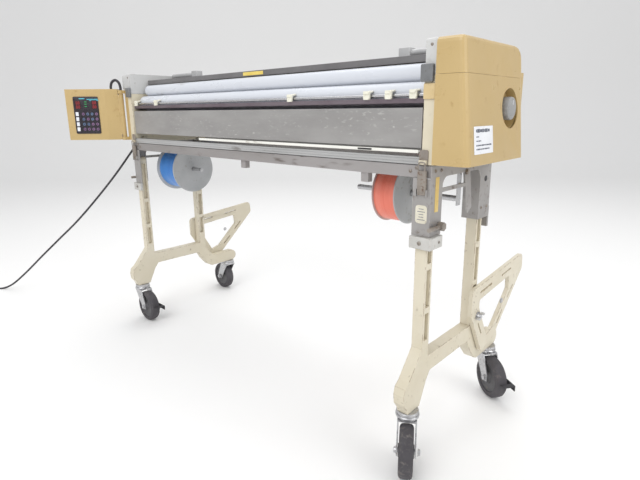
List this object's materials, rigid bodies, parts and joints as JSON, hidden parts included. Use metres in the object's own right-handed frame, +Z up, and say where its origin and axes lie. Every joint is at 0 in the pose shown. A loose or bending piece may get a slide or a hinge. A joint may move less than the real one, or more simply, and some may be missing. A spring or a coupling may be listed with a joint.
{
  "type": "wallpaper pasting machine",
  "caption": "Roller paste coater for wallpaper on a folding stand with casters: opening roller head, paste trough, gear housing, swivelling control box, tape reels and rear roll arms",
  "frame": {"origin": "middle of the bottom of the bounding box of the machine without its mains cord, on the floor", "axes": "+X along the rollers towards the gear housing, +Y from the operator side to the back, +Z up"},
  "size_m": [2.013, 0.9552, 0.8209],
  "materials": {
    "left_lower_plate": "cream paint, grimy at the edges",
    "right_lower_plate": "cream paint, grimy at the edges",
    "box_bracket": "mustard stove enamel",
    "box_pin": "plain",
    "paste_trough": "scuffed stainless",
    "drip_strip": "cream",
    "front_top_rail": "dull",
    "front_stand_rail": "dull zinc",
    "rear_stand_rail": "dull zinc",
    "back_panel": "light grey paint",
    "left_end_frame": "dull zinc",
    "right_end_frame": "dull zinc",
    "left_leg_collar": "cast",
    "right_leg_collar": "cast",
    "guide_rod": "bright, with cream clips",
    "scraper_bar": "dark",
    "right_lower_cover": "mustard stove enamel",
    "gear_motor": "dark grey",
    "red_spindle": "dull",
    "blue_spindle": "dull",
    "cable_gland": "black",
    "mains_cord": "black",
    "cord_coil": "black",
    "mains_plug": "black",
    "upper_left_plate": "light grey paint",
    "upper_right_plate": "light grey paint",
    "hood": "dark grey paint",
    "left_end_cap": "light grey",
    "right_top_cover": "mustard stove enamel",
    "top_roller": "pale",
    "top_gear": "machined",
    "paste_roller": "pale",
    "paste_gear": "machined",
    "pickup_roller": "pale",
    "pickup_gear": "machined",
    "motor_pinion": "machined",
    "thickness_knob": "grey",
    "control_box": "mustard stove enamel",
    "control_keypad": "black membrane",
    "control_cable": "black",
    "red_reel": "red tape between grey flanges",
    "blue_reel": "blue tape between grey flanges",
    "left_leg_frame": "cream paint on a casting, worn",
    "right_leg_frame": "cream paint on a casting, worn",
    "roll_arm_left": "cream paint on a casting",
    "roll_arm_right": "cream paint on a casting",
    "latch_left": "zinc plate",
    "latch_right": "zinc plate",
    "lock_lever_left": "zinc plate",
    "lock_lever_right": "zinc plate",
    "front_left_fork": "zinc plate",
    "front_left_wheel": "dark grey",
    "front_left_brake": "zinc plate",
    "front_right_fork": "zinc plate",
    "front_right_wheel": "dark grey",
    "rear_left_fork": "zinc plate",
    "rear_left_wheel": "dark grey",
    "rear_right_fork": "zinc plate",
    "rear_right_wheel": "dark grey",
    "rear_right_brake": "zinc plate"
  },
  "bodies": {
    "frame": {"left_lower_plate": "left_lower_plate", "right_lower_plate": "right_lower_plate", "box_bracket": "box_bracket", "box_pin": "box_pin", "paste_trough": "paste_trough", "drip_strip": "drip_strip", "front_top_rail": "front_top_rail", "front_stand_rail": "front_stand_rail", "rear_stand_rail": "rear_stand_rail", "back_panel": "back_panel", "left_end_frame": "left_end_frame", "right_end_frame": "right_end_frame", "left_leg_collar": "left_leg_collar", "right_leg_collar": "right_leg_collar", "guide_rod": "guide_rod", "scraper_bar": "scraper_bar", "right_lower_cover": "right_lower_cover", "gear_motor": "gear_motor", "red_spindle": "red_spindle", "blue_spindle": "blue_spindle", "cable_gland": "cable_gland", "mains_cord": "mains_cord", "cord_coil": "cord_coil", "mains_plug": "mains_plug"},
    "upper_unit": {"upper_left_plate": "upper_left_plate", "upper_right_plate": "upper_right_plate", "hood": "hood", "left_end_cap": "left_end_cap", "right_top_cover": "right_top_cover"},
    "top_roller_assembly": {"top_roller": "top_roller", "top_gear": "top_gear"},
    "paste_roller_assembly": {"paste_roller": "paste_roller", "paste_gear": "paste_gear"},
    "pickup_roller_assembly": {"pickup_roller": "pickup_roller", "pickup_gear": "pickup_gear"},
    "pinion": {"motor_pinion": "motor_pinion"},
    "knob": {"thickness_knob": "thickness_knob"},
    "control_unit": {"control_box": "control_box", "control_keypad": "control_keypad", "control_cable": "control_cable"},
    "red_tape": {"red_reel": "red_reel"},
    "blue_tape": {"blue_reel": "blue_reel"},
    "left_leg": {"left_leg_frame": "left_leg_frame"},
    "right_leg": {"right_leg_frame": "right_leg_frame"},
    "left_arm": {"roll_arm_left": "roll_arm_left"},
    "right_arm": {"roll_arm_right": "roll_arm_right"},
    "left_latch": {"latch_left": "latch_left"},
    "right_latch": {"latch_right": "latch_right"},
    "left_lock": {"lock_lever_left": "lock_lever_left"},
    "right_lock": {"lock_lever_right": "lock_lever_right"},
    "front_left_caster": {"front_left_fork": "front_left_fork"},
    "front_left_wheel_body": {"front_left_wheel": "front_left_wheel"},
    "front_left_brake_body": {"front_left_brake": "front_left_brake"},
    "front_right_caster": {"front_right_fork": "front_right_fork"},
    "front_right_wheel_body": {"front_right_wheel": "front_right_wheel"},
    "rear_left_caster": {"rear_left_fork": "rear_left_fork"},
    "rear_left_wheel_body": {"rear_left_wheel": "rear_left_wheel"},
    "rear_right_caster": {"rear_right_fork": "rear_right_fork"},
    "rear_right_wheel_body": {"rear_right_wheel": "rear_right_wheel"},
    "rear_right_brake_body": {"rear_right_brake": "rear_right_brake"}
  },
  "joints": [
    {"name": "upper_unit_hinge", "type": "hinge", "parent": "frame", "child": "upper_unit", "pos_m": [0.0545, 0.0799, 0.761], "axis": [1, 0, 0], "range_deg": [-55, 0]},
    {"name": "top_roller_spin", "type": "hinge", "parent": "upper_unit", "child": "top_roller_assembly", "pos_m": [0.0545, -0.11147, 0.76071], "axis": [1, 0, 0], "continuous": true},
    {"name": "paste_roller_spin", "type": "hinge", "parent": "frame", "child": "paste_roller_assembly", "pos_m": [0.0545, -0.1296, 0.7245], "axis": [1, 0, 0], "continuous": true},
    {"name": "pickup_roller_spin", "type": "hinge", "parent": "frame", "child": "pickup_roller_assembly", "pos_m": [0.0545, -0.10916, 0.67859], "axis": [1, 0, 0], "continuous": true},
    {"name": "pinion_spin", "type": "hinge", "parent": "frame", "child": "pinion", "pos_m": [0.0545, -0.06906, 0.67296], "axis": [1, 0, 0], "continuous": true},
    {"name": "knob_turn", "type": "hinge", "parent": "frame", "child": "knob", "pos_m": [0.6595, 0.0019, 0.696], "axis": [1, 0, 0], "range_deg": [-150, 150]},
    {"name": "control_box_swivel", "type": "hinge", "parent": "frame", "child": "control_unit", "pos_m": [-0.5295, -0.1766, 0.69], "axis": [0, 0, 1], "range_deg": [-42, 45]},
    {"name": "red_reel_spin", "type": "hinge", "parent": "frame", "child": "red_tape", "pos_m": [0.4645, -0.0446, 0.522], "axis": [1, 0, 0], "continuous": true},
    {"name": "blue_reel_spin", "type": "hinge", "parent": "frame", "child": "blue_tape", "pos_m": [-0.4065, -0.0446, 0.512], "axis": [1, 0, 0], "continuous": true},
    {"name": "left_leg_fold", "type": "hinge", "parent": "frame", "child": "left_leg", "pos_m": [-0.4799, -0.0646, 0.54], "axis": [0, 1, 0], "range_deg": [-72, 0]},
    {"name": "right_leg_fold", "type": "hinge", "parent": "frame", "child": "right_leg", "pos_m": [0.5889, -0.0646, 0.54], "axis": [0, 1, 0], "range_deg": [0, 72]},
    {"name": "left_arm_pivot", "type": "hinge", "parent": "left_leg", "child": "left_arm", "pos_m": [-0.498, 0.05, 0.244], "axis": [1, 0, 0], "range_deg": [0, 25]},
    {"name": "right_arm_pivot", "type": "hinge", "parent": "right_leg", "child": "right_arm", "pos_m": [0.607, 0.05, 0.244], "axis": [1, 0, 0], "range_deg": [0, 25]},
    {"name": "front_left_swivel", "type": "hinge", "parent": "left_leg", "child": "front_left_caster", "pos_m": [-0.4799, -0.1922, 0.11], "axis": [0, 0, 1], "continuous": true},
    {"name": "front_left_roll", "type": "hinge", "parent": "front_left_caster", "child": "front_left_wheel_body", "pos_m": [-0.4469, -0.1922, 0.05], "axis": [0, 1, 0], "continuous": true},
    {"name": "front_left_brake_press", "type": "hinge", "parent": "front_left_caster", "child": "front_left_brake_body", "pos_m": [-0.4469, -0.1922, 0.05], "axis": [0, 1, 0], "range_deg": [0, 12]},
    {"name": "front_right_swivel", "type": "hinge", "parent": "right_leg", "child": "front_right_caster", "pos_m": [0.5889, -0.1922, 0.11], "axis": [0, 0, 1], "continuous": true},
    {"name": "front_right_roll", "type": "hinge", "parent": "front_right_caster", "child": "front_right_wheel_body", "pos_m": [0.60606, -0.22039, 0.05], "axis": [0.8541, 0.5201, 0], "continuous": true},
    {"name": "rear_left_swivel", "type": "hinge", "parent": "left_leg", "child": "rear_left_caster", "pos_m": [-0.4799, 0.1679, 0.11], "axis": [0, 0, 1], "continuous": true},
    {"name": "rear_left_roll", "type": "hinge", "parent": "rear_left_caster", "child": "rear_left_wheel_body", "pos_m": [-0.51287, 0.16922, 0.05], "axis": [-0.04, -0.9992, 0], "continuous": true},
    {"name": "rear_right_swivel", "type": "hinge", "parent": "right_leg", "child": "rear_right_caster", "pos_m": [0.5889, 0.1679, 0.11], "axis": [0, 0, 1], "continuous": true},
    {"name": "rear_right_roll", "type": "hinge", "parent": "rear_right_caster", "child": "rear_right_wheel_body", "pos_m": [0.6161, 0.14922, 0.05], "axis": [0.5662, 0.8243, 0], "continuous": true},
    {"name": "rear_right_brake_press", "type": "hinge", "parent": "rear_right_caster", "child": "rear_right_brake_body", "pos_m": [0.6161, 0.14922, 0.05], "axis": [0.5662, 0.8243, 0], "range_deg": [0, 12]},
    {"name": "left_latch_lever", "type": "hinge", "parent": "frame", "child": "left_latch", "pos_m": [-0.4805, -0.1736, 0.548], "axis": [1, 0, 0], "range_deg": [0, 105]},
    {"name": "left_lock_turn", "type": "hinge", "parent": "frame", "child": "left_lock", "pos_m": [-0.503, -0.1376, 0.485], "axis": [1, 0, 0], "range_deg": [-80, 0]},
    {"name": "right_latch_lever", "type": "hinge", "parent": "frame", "child": "right_latch", "pos_m": [0.5895, -0.1736, 0.548], "axis": [1, 0, 0], "range_deg": [0, 105]},
    {"name": "right_lock_turn", "type": "hinge", "parent": "frame", "child": "right_lock", "pos_m": [0.612, -0.1376, 0.485], "axis": [1, 0, 0], "range_deg": [-80, 0]}
  ],
  "couplings": [
    {"joint": "paste_roller_spin", "follows": "pickup_roller_spin", "ratio": -1.4815},
    {"joint": "top_roller_spin", "follows": "pickup_roller_spin", "ratio": 1.4815},
    {"joint": "pinion_spin", "follows": "pickup_roller_spin", "ratio": -2.8571}
  ]
}
